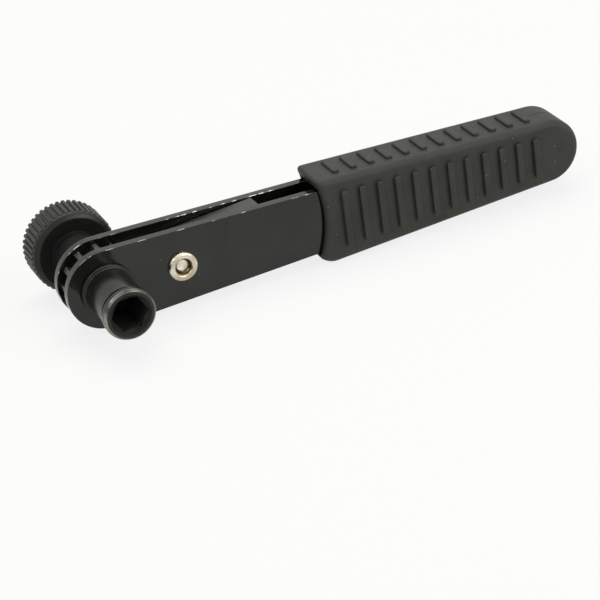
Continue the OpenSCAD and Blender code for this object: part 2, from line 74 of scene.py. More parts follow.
def makeObject(name, bm):
    mesh = bpy.data.meshes.new(name)
    bm.to_mesh(mesh)
    bm.free()
    for face in mesh.polygons:
        face.use_smooth = True
    mesh.set_sharp_from_angle(angle=creaseAngle)
    piece = bpy.data.objects.new(name, mesh)
    bpy.context.scene.collection.objects.link(piece)
    return piece


def evenNormals(piece):  # flat faces shade flat and only their rounded edges turn the light
    weigh = piece.modifiers.new("even normals", "WEIGHTED_NORMAL")
    weigh.keep_sharp = True
    weigh.weight = 80


def finishPiece(piece, finishes, body, slotName, *nodes):
    for finish in finishes:
        piece.data.materials.append(finish)
    evenNormals(piece)
    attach(piece, body)
    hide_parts(*nodes)
    print("piece", piece.name, len(piece.data.polygons), "faces")


def roundEdges(bm, edges, width, segments):
    return bmesh.ops.bevel(bm, geom=list(edges), offset=width * mm, offset_type="OFFSET",
                           segments=segments, profile=0.5, affect="EDGES", clamp_overlap=True, material=-1)


def sharpEdges(bm, angle):
    limit = math.radians(angle)
    return [e for e in bm.edges if len(e.link_faces) == 2 and e.calc_face_angle(0) > limit]


copySizes = {"samePoint": 1e-6, "flatAngle": 0.4, "headShare": 0.7, "leastUp": 0.1, "leastNear": 0.2}


def isNearLitEdge(normal):  # edges on the near side that face up or round the head, toward the lamps and camera: their bright metal is partly a painted glint
    up = normal.z - copySizes["headShare"] * normal.x
    return up > copySizes["leastUp"] and -normal.y > copySizes["leastNear"]


def softenedCopy(name, node, look):
    bm = bmesh.new()
    bm.from_mesh(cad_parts[node].data)
    bmesh.ops.remove_doubles(bm, verts=bm.verts, dist=copySizes["samePoint"])
    flat = math.radians(copySizes["flatAngle"])
    bmesh.ops.dissolve_limit(bm, angle_limit=flat, verts=bm.verts, edges=bm.edges)
    wearAndGlint = bm.loops.layers.float.new("edgeWearAndGlint")  # nought on the flats, most on the near upper edges, where the bright metal is partly a painted glint
    eased = roundEdges(bm, sharpEdges(bm, look["angle"]), look["edge"], look["segments"])
    for face in eased["faces"]:
        share = 1.0 if isNearLitEdge(face.normal) else look["otherWear"]
        for corner in face.loops:
            corner[wearAndGlint] = share
    return makeObject(name, bm)


def turnedShape(points, rounds, steps):  # rounds holds a radius for each corner that is rounded
    bm = bmesh.new()
    verts = [bm.verts.new((r * mm, y * mm, 0)) for r, y in points]
    for pair in zip(verts, verts[1:]):
        bm.edges.new(pair)
    for index, radius in rounds.items():
        bmesh.ops.bevel(bm, geom=[verts[index]], offset=radius * mm, offset_type="OFFSET",
                        segments=roundSteps, profile=0.5, affect="VERTICES", material=-1)
    bmesh.ops.spin(bm, geom=bm.verts[:] + bm.edges[:], cent=(0, 0, 0), axis=(0, 1, 0),
                   angle=2 * math.pi, steps=steps, use_merge=True)
    mergeAndFace(bm)
    return bm


def clearSlivers(piece):  # faces of no size that the cuts leave
    bm = bmesh.new()
    bm.from_mesh(piece.data)
    bmesh.ops.dissolve_degenerate(bm, dist=samePoint, edges=bm.edges)
    bm.to_mesh(piece.data)
    bm.free()
    piece.data.set_sharp_from_angle(angle=creaseAngle)


def combine(piece, bm, operation):
    other = makeObject("tool shape", bm)
    step = piece.modifiers.new("combine", "BOOLEAN")
    step.operation = operation
    step.solver = "EXACT"
    step.object = other
    depsgraph = bpy.context.evaluated_depsgraph_get()
    mesh = bpy.data.meshes.new_from_object(piece.evaluated_get(depsgraph))
    piece.modifiers.clear()
    piece.data = mesh
    mesh.set_sharp_from_angle(angle=creaseAngle)
    bpy.data.objects.remove(other)


# Finishes
noiseFacts = {"cloudDetail": 4, "cloudRange": (0.35, 0.65), "grainDetail": 3, "grainRange": (0.3, 0.7),
              "wearDetail": 3}


def objectNoise(tree, scale, detail, stretch=(1, 1, 1)):
    place = tree.nodes.new("ShaderNodeTexCoord")
    turn = tree.nodes.new("ShaderNodeMapping")
    turn.inputs["Scale"].default_value = stretch
    noise = tree.nodes.new("ShaderNodeTexNoise")
    noise.inputs["Scale"].default_value = scale
    noise.inputs["Detail"].default_value = detail
    tree.links.new(place.outputs["Object"], turn.inputs["Vector"])
    tree.links.new(turn.outputs["Vector"], noise.inputs["Vector"])
    return noise.outputs["Fac"]


def blendColours(tree, factor, low, high):
    ramp = tree.nodes.new("ShaderNodeValToRGB")
    for end, place, colour in zip(ramp.color_ramp.elements, noiseFacts["cloudRange"], (low, high)):
        end.position = place
        end.color = (*colour, 1)
    tree.links.new(factor, ramp.inputs["Fac"])
    return ramp.outputs["Color"]


def spread(tree, factor, fromRange, toRange):
    span = tree.nodes.new("ShaderNodeMapRange")
    span.inputs["From Min"].default_value = fromRange[0]
    span.inputs["From Max"].default_value = fromRange[1]
    span.inputs["To Min"].default_value = toRange[0]
    span.inputs["To Max"].default_value = toRange[1]
    tree.links.new(factor, span.inputs["Value"])
    return span.outputs["Result"]


def mixColours(tree, factor, first, second):
    mix = tree.nodes.new("ShaderNodeMix")
    mix.data_type = "RGBA"
    tree.links.new(factor, mix.inputs["Factor"])
    tree.links.new(first, mix.inputs["A"])
    mix.inputs["B"].default_value = (*second, 1)
    return mix.outputs["Result"]


def wearAndGlintShare(tree, wearAndGlint):  # broken lines of bright metal along the eased edges: real wear, and on the lit near edges a painted glint
    edge = tree.nodes.new("ShaderNodeAttribute")
    edge.attribute_name = "edgeWearAndGlint"
    noise = objectNoise(tree, wearAndGlint["scale"], noiseFacts["wearDetail"])
    patches = spread(tree, noise, wearAndGlint["from"], (0, wearAndGlint["most"]))
    share = tree.nodes.new("ShaderNodeMath")
    share.operation = "MULTIPLY"
    tree.links.new(edge.outputs["Fac"], share.inputs[0])
    tree.links.new(patches, share.inputs[1])
    return share.outputs["Value"]


def dustShare(tree, dust):  # scattered specks
    place = tree.nodes.new("ShaderNodeTexCoord")
    cells = tree.nodes.new("ShaderNodeTexVoronoi")
    cells.inputs["Scale"].default_value = dust["scale"]
    tree.links.new(place.outputs["Object"], cells.inputs["Vector"])
    return spread(tree, cells.outputs["Distance"], dust["size"], (dust["most"], 0))


def makeFinish(name, look):
    finish = bpy.data.materials.new(name)
    finish.use_nodes = True
    tree = finish.node_tree
    shader = tree.nodes["Principled BSDF"]
    shader.inputs["Metallic"].default_value = look["metallic"]
    shader.inputs["Specular IOR Level"].default_value = look["specular"]
    shader.inputs["Specular Tint"].default_value = (*look.get("shine", (1, 1, 1)), 1)
    stretch = look.get("stretch", (1, 1, 1))
    cloud = objectNoise(tree, look["cloud"], noiseFacts["cloudDetail"], stretch)
    colour = blendColours(tree, cloud, look["low"], look["high"])
    grain = objectNoise(tree, look["grain"], noiseFacts["grainDetail"], stretch)
    rough = spread(tree, grain, noiseFacts["grainRange"], look["rough"])
    tree.links.new(rough, shader.inputs["Roughness"])
    if "dust" in look:
        colour = mixColours(tree, dustShare(tree, look["dust"]), colour, look["dust"]["colour"])
    if "wearAndGlint" in look:
        share = wearAndGlintShare(tree, look["wearAndGlint"])
        colour = mixColours(tree, share, colour, look["wearAndGlint"]["colour"])
        tree.links.new(share, shader.inputs["Metallic"])
    tree.links.new(colour, shader.inputs["Base Color"])
    bump = tree.nodes.new("ShaderNodeBump")
    bump.inputs["Strength"].default_value = look["bump"][0]
    bump.inputs["Distance"].default_value = look["bump"][1] * mm
    tree.links.new(grain, bump.inputs["Height"])
    tree.links.new(bump.outputs["Normal"], shader.inputs["Normal"])
    return finish


oilShine = (1.0, 1.0, 0.96)  # oiled black oxide glints a little olive
# bright metal on eased edges: real wear, and partly painted glints where the edges face the lamps and
# camera
edgeWearAndGlint = {"scale": 420, "from": (0.54, 0.63), "most": 0.8, "colour": (0.62, 0.61, 0.56)}
# the lip's bright metal leans to the upper left: partly wear, partly a painted highlight
lipWearAndHighlight = {"scale": 260, "from": (0.30, 0.66), "most": 0.8, "colour": (0.56, 0.55, 0.48)}
plateDust = {"scale": 260, "size": (0.02, 0.05), "most": 0.6, "colour": (0.16, 0.16, 0.15)}
gripDust = {"scale": 420, "size": (0.03, 0.07), "most": 0.7, "colour": (0.20, 0.20, 0.18)}
plateLook = {"low": (0.004, 0.004, 0.003), "high": (0.010, 0.010, 0.008), "cloud": 120, "grain": 2400,
             "rough": (0.07, 0.15), "metallic": 0, "specular": 0.45, "shine": oilShine,
             "bump": (0.05, 0.01), "wearAndGlint": edgeWearAndGlint, "dust": plateDust}
barrelLook = {"low": (0.005, 0.005, 0.004), "high": (0.012, 0.012, 0.009), "cloud": 300, "grain": 2200,
              "rough": (0.16, 0.26), "metallic": 0, "specular": 0.34, "shine": oilShine,
              "bump": (0.06, 0.02), "stretch": (1, 2, 1), "wearAndGlint": lipWearAndHighlight}
# the lead-in is kept dark and dull as painted shade in the mouth
leadShadeLook = {"low": (0.011, 0.011, 0.009), "high": (0.022, 0.022, 0.018), "cloud": 500, "grain": 1600,
            "rough": (0.50, 0.65), "metallic": 0, "specular": 0.12, "bump": (0.1, 0.02)}
# the hex bore, its floor and the ring inside are dull black as painted shade
boreShadeLook = {"low": (0.012, 0.012, 0.012), "high": (0.024, 0.024, 0.023), "cloud": 500, "grain": 2400,
            "rough": (0.60, 0.80), "metallic": 0, "specular": 0.15, "bump": (0.1, 0.02)}
gearLook = {"low": (0.012, 0.012, 0.010), "high": (0.030, 0.030, 0.025), "cloud": 500, "grain": 2200,
            "rough": (0.30, 0.45), "metallic": 0, "specular": 0.5, "shine": oilShine, "bump": (0.1, 0.02),
            "wearAndGlint": edgeWearAndGlint}
bareLook = {"low": (0.18, 0.18, 0.17), "high": (0.30, 0.30, 0.29), "cloud": 500, "grain": 2600,
            "rough": (0.25, 0.40), "metallic": 1, "specular": 0.5, "bump": (0.08, 0.01),
            "stretch": (1, 5, 1)}
rimLook = {"low": (0.48, 0.40, 0.28), "high": (0.70, 0.66, 0.55), "cloud": 560, "grain": 2600,
           "rough": (0.16, 0.30), "metallic": 1, "specular": 0.5, "bump": (0.15, 0.02)}
# the funnel wall is dark brown as painted shade in the hollow
funnelShadeLook = {"low": (0.070, 0.050, 0.028), "high": (0.200, 0.150, 0.090), "cloud": 900, "grain": 2600,
              "rough": (0.25, 0.40), "metallic": 1, "specular": 0.5, "bump": (0.15, 0.02)}
# the hollow's floor is paler than the rim as a painted highlight
hollowFloorHighlightLook = {"low": (0.48, 0.43, 0.32), "high": (0.86, 0.83, 0.74), "cloud": 700, "grain": 2600,
             "rough": (0.20, 0.35), "metallic": 1, "specular": 0.5, "bump": (0.2, 0.02)}
knobLook = {"low": (0.008, 0.008, 0.006), "high": (0.014, 0.014, 0.011), "cloud": 400, "grain": 3200,
            "rough": (0.28, 0.40), "metallic": 0, "specular": 0.28, "shine": oilShine,
            "bump": (0.15, 0.03)}
# the knob's front and hub are darker as painted shade
knobShadeLook = {"low": (0.004, 0.004, 0.004), "high": (0.009, 0.009, 0.008), "cloud": 400, "grain": 3200,
              "rough": (0.55, 0.70), "metallic": 0, "specular": 0.14, "bump": (0.15, 0.03)}
gripLook = {"low": (0.018, 0.018, 0.014), "high": (0.026, 0.026, 0.021), "cloud": 220, "grain": 2600,
            "rough": (0.52, 0.68), "metallic": 0, "specular": 0.4, "bump": (0.2, 0.04), "dust": gripDust}
plateSteel = makeFinish("plate black oxide", plateLook)
barrelSteel = makeFinish("barrel black oxide", barrelLook)
leadShadeSteel = makeFinish("lead-in painted shade", leadShadeLook)
boreShadeSteel = makeFinish("bore painted shade", boreShadeLook)
gearSteel = makeFinish("gear black oxide", gearLook)
bareSteel = makeFinish("bare steel", bareLook)
rimBrass = makeFinish("pale brass plate", rimLook)
funnelShadeBrass = makeFinish("brass funnel painted shade", funnelShadeLook)
hollowFloorHighlightBrass = makeFinish("brass floor painted highlight", hollowFloorHighlightLook)
knobPlastic = makeFinish("knob moulded plastic", knobLook)
knobShadePlastic = makeFinish("knob face painted shade", knobShadeLook)
gripRubber = makeFinish("grip moulded rubber", gripLook)
print("finishes made")

# Side plates, stamped from sheet with eased edges
plateSizes = {"edge": 0.28, "segments": 3, "angle": 30, "otherWear": 0.25}
for side in ("near", "far"):
    plate = softenedCopy(side + "PlateEased", side + "_plate", plateSizes)
    finishPiece(plate, [plateSteel], "frame", "black_steel", side + "_plate")

# Reversing lever and gear, with broken edges
leverSizes = {"edge": 0.22, "segments": 2, "angle": 30, "otherWear": 0.5}
lever = softenedCopy("reversingLeverEased", "reversing_lever", leverSizes)
finishPiece(lever, [gearSteel], "lever", "black_steel", "reversing_lever")
gearSizes = {"edge": 0.14, "segments": 2, "angle": 25, "otherWear": 0.5}
gear = softenedCopy("ratchetGearEased", "ratchet_gear", gearSizes)
finishPiece(gear, [gearSteel], "spindle", "black_steel", "ratchet_gear")

# Turned spindle with the hex socket: each step is its radius and where it ends along the axis
socketSizes = {"lip": (5.2, 1.6), "ringGroove": (3.5, 2.6), "barrel": (4.8, 11.5), "collar": (5.4, 12.4),
               "nearJournal": (4.2, 14.4), "gearSeat": (3.5, 18.2), "farJournal": (3.4, 20.8),
               "clipGroove": (2.7, 21.44), "clipLand": (3.4, 22.04), "knobTang": (2.6, 35.6)}
socketRounds = {1: 0.7, 2: 0.25, 5: 0.15, 6: 0.28, 7: 0.3, 8: 0.1}  # lip, barrel and collar edges
hexSizes = {"across": 6.45, "depth": 9.5, "leadRadius": 4.1, "leadDepth": 0.8, "overrun": 0.5,
            "steps": 144}
# side points to the upper left, where the lip's painted highlight is strongest
lipHighlightPlaces = {"side": (-0.85, 0, 0.53), "band": 0.8, "outward": 0.25, "forward": 0.2, "least": 0.3}


def makeHexCutter():
    bm = bmesh.new()
    radius = hexSizes["across"] / math.sqrt(3) * mm
    length = hexSizes["depth"] + hexSizes["overrun"]
    bmesh.ops.create_cone(bm, cap_ends=True, segments=6, radius1=radius, radius2=radius,
                          depth=length * mm)
    bmesh.ops.rotate(bm, verts=bm.verts, matrix=Matrix.Rotation(math.radians(30), 3, "Z"))
    bmesh.ops.rotate(bm, verts=bm.verts, matrix=Matrix.Rotation(math.radians(90), 3, "X"))
    bmesh.ops.translate(bm, verts=bm.verts, vec=(0, (hexSizes["depth"] - length / 2) * mm, 0))
    return bm


def makeLeadIn():  # cone that opens the mouth at 45 degrees
    over, deep = hexSizes["overrun"], hexSizes["leadDepth"]
    wide = hexSizes["leadRadius"]
    points = [(0, -over), (wide + over, -over), (wide - deep, deep), (0, deep)]
    return turnedShape(points, {}, hexSizes["steps"])


def lipWearAndHighlightShare(normal, radial, depth):  # wear of the lip's rounded outer edge, fullest toward the upper left and the front: partly real wear, partly a painted highlight
    across = radial.normalized()
    inBand = radial.length / mm > socketSizes["lip"][0] - lipHighlightPlaces["band"] and depth < lipHighlightPlaces["band"]
    if not inBand or normal.dot(across) <= lipHighlightPlaces["outward"] or -normal.y <= lipHighlightPlaces["forward"]:
        return 0
    toward = max(0, across.dot(Vector(lipHighlightPlaces["side"])))
    return lipHighlightPlaces["least"] + (1 - lipHighlightPlaces["least"]) * toward


def markSocketFaces(mesh):  # finish nought is the barrel, one the lead-in and two the bore; the lead-in and the bore are darkened as painted shade
    wear = mesh.attributes.new("edgeWearAndGlint", "FLOAT", "CORNER")
    inward, floorBand = 0.5, 0.1
    for face in mesh.polygons:
        radial = Vector((face.center.x, 0, face.center.z))
        facesIn = face.normal.dot(radial.normalized()) < -inward
        reach, depth = radial.length / mm, face.center.y / mm
        onFloor = depth > hexSizes["depth"] - floorBand and reach < hexSizes["across"] / 2
        if onFloor or facesIn and reach < hexSizes["leadRadius"]:
            face.material_index = 2
        if facesIn and face.normal.y < -inward and not onFloor:
            face.material_index = 1
        share = lipWearAndHighlightShare(face.normal, radial, depth)
        for corner in face.loop_indices:
            wear.data[corner].value = share


def makeSocket():
    points = [(0, 0)]
    for radius, end in socketSizes.values():
        points += [(radius, points[-1][1]), (radius, end)]
    points.append((0, points[-1][1]))
    socket = makeObject("bitSocketTurned", turnedShape(points, socketRounds, hexSizes["steps"]))
    combine(socket, makeHexCutter(), "DIFFERENCE")
    combine(socket, makeLeadIn(), "DIFFERENCE")
    markSocketFaces(socket.data)
    return socket


socket = makeSocket()
finishPiece(socket, [barrelSteel, leadShadeSteel, boreShadeSteel], "spindle", "black_steel", "bit_socket")

# Hollow rivet with a rolled rim
rivetSizes = {"rimHeight": 0.9, "rimRadius": 3.0, "hollowRadius": 1.65, "floorRadius": 1.2,
              "funnelStart": 0.3, "floorDepth": 0.3, "floorCrown": 0.1, "shank": 2.2, "headRadius": 3.3,
              "headHeight": 0.9, "steps": 96}
rivetRounds = {1: 0.15, 2: 0.12, 3: 0.45, 4: 0.6, 9: 0.44}  # floor, funnel, rim and head edges
rivetBands = {"belowRim": 0.35, "pastFloor": 0.05, "pastHollow": 0.02, "floorEdge": 0.12}


def makeRivet():
    rim = nearOut - rivetSizes["rimHeight"]
    funnel = nearOut - rivetSizes["funnelStart"]
    floor = nearOut + rivetSizes["floorDepth"]
    head = farOut + rivetSizes["headHeight"]
    hollow, shank = rivetSizes["hollowRadius"], rivetSizes["shank"]
    rimWide, headWide = rivetSizes["rimRadius"], rivetSizes["headRadius"]
    points = [(0, floor - rivetSizes["floorCrown"]), (rivetSizes["floorRadius"], floor), (hollow, funnel),
              (hollow, rim), (rimWide, rim), (rimWide, nearOut), (shank, nearOut), (shank, farOut),
              (headWide, farOut), (headWide, head), (0, head)]
    bm = turnedShape(points, rivetRounds, rivetSizes["steps"])
    floorReach = rivetSizes["floorRadius"] - rivetBands["floorEdge"]
    for face in bm.faces:  # finish nought is the rim, one the funnel with painted shade and two its floor with a painted highlight
        middle = face.calc_center_median() / mm
        reach = math.hypot(middle.x, middle.z)
        sunk = rim + rivetBands["belowRim"] < middle.y < floor + rivetBands["pastFloor"]
        if sunk and reach < hollow + rivetBands["pastHollow"]:
            face.material_index = 1 if reach > floorReach else 2
    low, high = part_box("pivot_rivet")
    bmesh.ops.translate(bm, verts=bm.verts, vec=((low.x + high.x) / 2, 0, 0))
    return makeObject("pivotRivetRolled", bm)


rivet = makeRivet()
finishPiece(rivet, [rimBrass, funnelShadeBrass, hollowFloorHighlightBrass], "frame", "rivet_brass", "pivot_rivet")

# Thumb knob with rounded ridges; places named from and to are counted from its face
knobSizes = {"hubStart": 22.04, "hubRadius": 4.6, "face": 30.8, "faceRadius": 7.45, "shoulder": 8.45,
             "shoulderFrom": 0.65, "shoulderTo": 1.3, "root": 8.25, "rootFrom": 1.5, "backEase": 0.4,
             "thick": 7.4, "dishRadius": 5.8, "dishDepth": 0.5, "shadeDepth": 0.02, "steps": 176}
knobRounds = {1: 0.2, 2: 0.3, 3: 0.25, 4: 0.3, 8: 0.2, 9: 0.15}  # hub, face, shoulder and back edges
ridgeSizes = {"count": 44, "crest": 8.65, "width": 0.76, "round": 0.3, "roundSteps": 3, "from": 0.95,
              "to": 7.2, "sunk": 0.3}


def makeRidges():
    bm = bmesh.new()
    ridge = bmesh.ops.create_cube(bm, size=1)["verts"]
    length = ridgeSizes["to"] - ridgeSizes["from"]
    height = ridgeSizes["crest"] - knobSizes["root"] + ridgeSizes["sunk"]  # its foot lies in the rim
    bmesh.ops.scale(bm, verts=ridge, vec=Vector((height, length, ridgeSizes["width"])) * mm)
    outer = {e for v in ridge for e in v.link_edges if all(p.co.x > 0 for p in e.verts)}
    roundEdges(bm, outer, ridgeSizes["round"], ridgeSizes["roundSteps"])
    middle = knobSizes["face"] + (ridgeSizes["from"] + ridgeSizes["to"]) / 2
    place = Vector((ridgeSizes["crest"] - height / 2, middle, 0)) * mm
    bmesh.ops.translate(bm, verts=bm.verts, vec=place)
    copies = ridgeSizes["count"] - 1
    bmesh.ops.spin(bm, geom=bm.verts[:] + bm.edges[:] + bm.faces[:], cent=(0, 0, 0), axis=(0, 1, 0),
                   angle=2 * math.pi * copies / ridgeSizes["count"], steps=copies, use_duplicate=True)
    bmesh.ops.recalc_face_normals(bm, faces=bm.faces)
    return bm


def makeKnob():
    start, face, root = knobSizes["hubStart"], knobSizes["face"], knobSizes["root"]
    hub, wide, dish = knobSizes["hubRadius"], knobSizes["shoulder"], knobSizes["dishRadius"]
    ease = knobSizes["backEase"]
    back = face + knobSizes["thick"]
    floor = back - knobSizes["dishDepth"]
    points = [(0, start), (hub, start), (hub, face), (knobSizes["faceRadius"], face),
              (wide, face + knobSizes["shoulderFrom"]), (wide, face + knobSizes["shoulderTo"]),
              (root, face + knobSizes["rootFrom"]), (root, back - ease), (root - ease, back), (dish, back),
              (dish, floor), (0, floor)]
    knob = makeObject("knobRidged", turnedShape(points, knobRounds, knobSizes["steps"]))
    combine(knob, makeRidges(), "UNION")
    for part in knob.data.polygons:  # the hub and the flat front are darker and duller than the rim: painted shade
        part.material_index = int(part.center.y / mm < face + knobSizes["shadeDepth"])
    return knob


finishPiece(makeKnob(), [knobPlastic, knobShadePlastic], "spindle", "knob_plastic", "knob")

# Ribbed grip sleeve
gripSizes = {"front": 45.4, "scoop": 24.0, "scoopZ": 1.9, "heelR": 4.2, "heelReach": 2.8,
             "frontHalf": 9.05, "tailX": 95.1, "tailR": 6.7, "width": 10.8, "edge": 1.4, "rim": 1.0,
             "corner": 0.7}
gripSteps = {"tail": 40, "heel": 8, "corner": 6, "scoop": 20, "edge": 10}
seamSizes = {"radius": 0.14, "run": 2.0, "sides": 10, "steps": 48}
ribSizes = {"count": 12, "firstIn": 4.25, "lastIn": 3.2, "width": 1.4, "sideHeight": 0.8,
            "edgeHeight": 0.6, "sunk": 0.4, "corner": 0.45, "cornerSteps": 5, "crown": 0.28,
            "crownSteps": 3, "sideHalf": (6.0, 4.2), "edgeHalf": 3.0}
sleeveSizes = {"start": 38.0, "rearHalf": 5.1, "play": 0.15, "sidePlay": 0.02, "mouthPlay": 0.55,
               "mouthSidePlay": 0.42, "mouthLength": 2.4}
gripRun = gripSizes["tailX"] - gripSizes["front"]
gripSlope = math.atan2(gripSizes["frontHalf"], gripRun) - math.asin(
    gripSizes["tailR"] / math.hypot(gripRun, gripSizes["frontHalf"]))
gripTail = Vector((gripSizes["tailX"], 0, 0))
slopeOut = Vector((math.sin(gripSlope), 0, math.cos(gripSlope)))  # square to the top face
scoopCentre = Vector((gripSizes["front"] - gripSizes["scoop"], 0, gripSizes["scoopZ"]))
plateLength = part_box("near_plate")[1].x / mm
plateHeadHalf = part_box("near_plate")[1].z / mm


def gripHalf(x):
    return gripSizes["frontHalf"] - (x - gripSizes["front"]) * math.tan(gripSlope)


heelX = gripSizes["front"] - gripSizes["heelReach"] + gripSizes["heelR"]
gripHeel = Vector((heelX, 0, gripSizes["heelR"] / math.cos(gripSlope) - gripHalf(heelX)))


def plateHalf(x):  # straight plate edge from the round head to the rear end
    reach = math.hypot(plateLength, sleeveSizes["rearHalf"])
    slope = math.asin(plateHeadHalf / reach) - math.atan2(sleeveSizes["rearHalf"], plateLength)
    return sleeveSizes["rearHalf"] + (plateLength - x) * math.tan(slope)


def extrudeAlongY(bm, faces, length):
    grown = bmesh.ops.extrude_face_region(bm, geom=faces)
    moved = [v for v in grown["geom"] if isinstance(v, bmesh.types.BMVert)]
    bmesh.ops.translate(bm, verts=moved, vec=(0, length * mm, 0))
    bmesh.ops.recalc_face_normals(bm, faces=bm.faces)


def arcPoints(centre, start, stop, steps):
    first = start - centre
    turn = first.xz.angle_signed((stop - centre).xz)
    return [centre + Matrix.Rotation(turn * k / steps, 3, "Y") @ first for k in range(steps + 1)]


def lowerCrossing(first, firstReach, second, secondReach):  # of two circles
    gap = second - first
    along = (firstReach ** 2 - secondReach ** 2 + gap.length_squared) / (2 * gap.length)
    aside = math.sqrt(firstReach ** 2 - along ** 2)
    toward = gap.normalized()
    return first + toward * along + Vector((toward.z, 0, -toward.x)) * aside


def gripOutline(inset, rimInset):  # drawn in by inset, but along the hollow front edge by rimInset
    corner = gripSizes["corner"]
    scoop = gripSizes["scoop"] + rimInset
    heelR = gripSizes["heelR"] - inset
    tailR = gripSizes["tailR"] - inset
    slopeDown = Vector((slopeOut.x, 0, -slopeOut.z))
    chin = lowerCrossing(scoopCentre, scoop + corner, gripHeel, heelR - corner)
    frontTop = Vector((gripSizes["front"], 0, gripSizes["frontHalf"]))
    rise = slopeOut.dot(frontTop - scoopCentre) - inset - corner
    run = math.sqrt((scoop + corner) ** 2 - rise ** 2)
    brow = scoopCentre + slopeOut * rise + Vector((slopeOut.z, 0, -slopeOut.x)) * run
    chinStart = gripHeel + (chin - gripHeel).normalized() * heelR
    chinEnd = chin + (scoopCentre - chin).normalized() * corner
    browStart = brow + (scoopCentre - brow).normalized() * corner
    tailTop, tailLow = gripTail + slopeOut * tailR, gripTail + slopeDown * tailR
    points = arcPoints(gripTail, tailTop, tailLow, gripSteps["tail"])
    points += arcPoints(gripHeel, gripHeel + slopeDown * heelR, chinStart, gripSteps["heel"])
    points += arcPoints(chin, chinStart, chinEnd, gripSteps["corner"])[1:]
    points += arcPoints(scoopCentre, chinEnd, browStart, gripSteps["scoop"])[1:]
    points += arcPoints(brow, browStart, brow + slopeOut * corner, gripSteps["corner"])[1:]
    return points


def gripLevels():  # distance from the middle, with the insets there
    half, edge, rim = gripSizes["width"] / 2, gripSizes["edge"], gripSizes["rim"]
    steps = gripSteps["edge"]
    levels = []
    for k in range(steps + 1):
        turn = math.pi / 2 * k / steps
        out = half - edge + edge * math.sin(turn)
        past = min(rim, max(0, out - half + rim))
        levels.append((out, edge * (1 - math.cos(turn)), rim - math.sqrt(rim ** 2 - past ** 2)))
    return [(-out, inset, rimInset) for out, inset, rimInset in reversed(levels)] + levels


def makeGripForm():
    bm = bmesh.new()
    loops = []
    for out, inset, rimInset in gripLevels():
        shift = Vector((0, middleY + out, 0))
        loops.append([bm.verts.new((point + shift) * mm) for point in gripOutline(inset, rimInset)])
    for low, high in zip(loops, loops[1:]):
        for k in range(len(low)):
            bm.faces.new((low[k - 1], low[k], high[k], high[k - 1]))
    bm.faces.new(loops[0])
    bm.faces.new(loops[-1])
    bmesh.ops.recalc_face_normals(bm, faces=bm.faces)
    return makeObject("gripSleeve", bm)


def makePlateSpace(end, play, sidePlay):
    bm = bmesh.new()
    start = sleeveSizes["start"]
    corners = []
    for x, side in ((start, 1), (end, 1), (end, -1), (start, -1)):
        corners.append(Vector((x, nearOut - sidePlay, side * (plateHalf(x) + play))))
    face = bm.faces.new([bm.verts.new(corner * mm) for corner in corners])
    extrudeAlongY(bm, [face], farOut - nearOut + 2 * sidePlay)
    return bm


def makeSeamWire():  # round wire that presses the parting line into the tail
    bm = bmesh.new()
    tail = (gripTail + Vector((0, middleY, 0))) * mm
    bmesh.ops.create_circle(bm, segments=seamSizes["sides"], radius=seamSizes["radius"] * mm)
    bmesh.ops.rotate(bm, verts=bm.verts, matrix=Matrix.Rotation(math.pi / 2 + gripSlope, 3, "Y"))
    bmesh.ops.translate(bm, verts=bm.verts, vec=tail + slopeOut * gripSizes["tailR"] * mm)
    bmesh.ops.spin(bm, geom=bm.verts[:] + bm.edges[:], cent=tail, axis=(0, 1, 0),
                   angle=math.pi - 2 * gripSlope, steps=seamSizes["steps"])
    for side in (1, -1):
        end = [e for e in bm.edges if e.is_boundary and e.verts[0].co.z * side > 0]
        grown = bmesh.ops.extrude_edge_only(bm, edges=end)["geom"]
        moved = [v for v in grown if isinstance(v, bmesh.types.BMVert)]
        forward = Vector((-slopeOut.z, 0, side * slopeOut.x))
        bmesh.ops.translate(bm, verts=moved, vec=forward * seamSizes["run"] * mm)
    bmesh.ops.holes_fill(bm, edges=[e for e in bm.edges if e.is_boundary])
    mergeAndFace(bm)
    return bm


def addRib(bm, half, height, place):
    rib = bmesh.ops.create_cube(bm, size=1)["verts"]
    tall = height + ribSizes["sunk"]
    bmesh.ops.scale(bm, verts=rib, vec=Vector((ribSizes["width"], 2 * half, tall)) * mm)
    upright = {e for v in rib for e in v.link_edges
               if abs(e.verts[0].co.z - e.verts[1].co.z) > samePoint}
    body = set(roundEdges(bm, upright, ribSizes["corner"], ribSizes["cornerSteps"])["verts"])
    crest = {e for v in body for e in v.link_edges if all(p.co.z > 0 for p in e.verts)}
    crown = roundEdges(bm, crest, ribSizes["crown"], ribSizes["crownSteps"])["verts"]
    body = [v for v in body if v.is_valid]
    body += [v for v in crown if v not in body]
    bmesh.ops.translate(bm, verts=body, vec=(0, 0, (height - tall / 2) * mm))
    bmesh.ops.transform(bm, verts=body, matrix=place)


def makeRibs():
    bm = bmesh.new()
    tilt = Matrix.Rotation(gripSlope, 4, "Y")
    upsideDown = Matrix.Rotation(math.pi, 4, "X")
    lift = Matrix.Translation(Vector((0, middleY, 0)) * mm)
    first = gripSizes["front"] + ribSizes["firstIn"]
    last = gripSizes["tailX"] - ribSizes["lastIn"]
    frontHalf, rearHalf = ribSizes["sideHalf"]
    for index in range(ribSizes["count"]):
        share = index / (ribSizes["count"] - 1)
        x = first + (last - first) * share
        for side in (-1, 1):
            stand = Matrix.Translation(Vector((x, middleY + side * gripSizes["width"] / 2, 0)) * mm)
            turned = stand @ Matrix.Rotation(-side * math.pi / 2, 4, "X")
            addRib(bm, frontHalf + (rearHalf - frontHalf) * share, ribSizes["sideHeight"], turned)
        top = Matrix.Translation(Vector((x, 0, gripHalf(x))) * mm) @ tilt
        addRib(bm, ribSizes["edgeHalf"], ribSizes["edgeHeight"], lift @ top)
        addRib(bm, ribSizes["edgeHalf"], ribSizes["edgeHeight"], lift @ upsideDown @ top)
    return bm


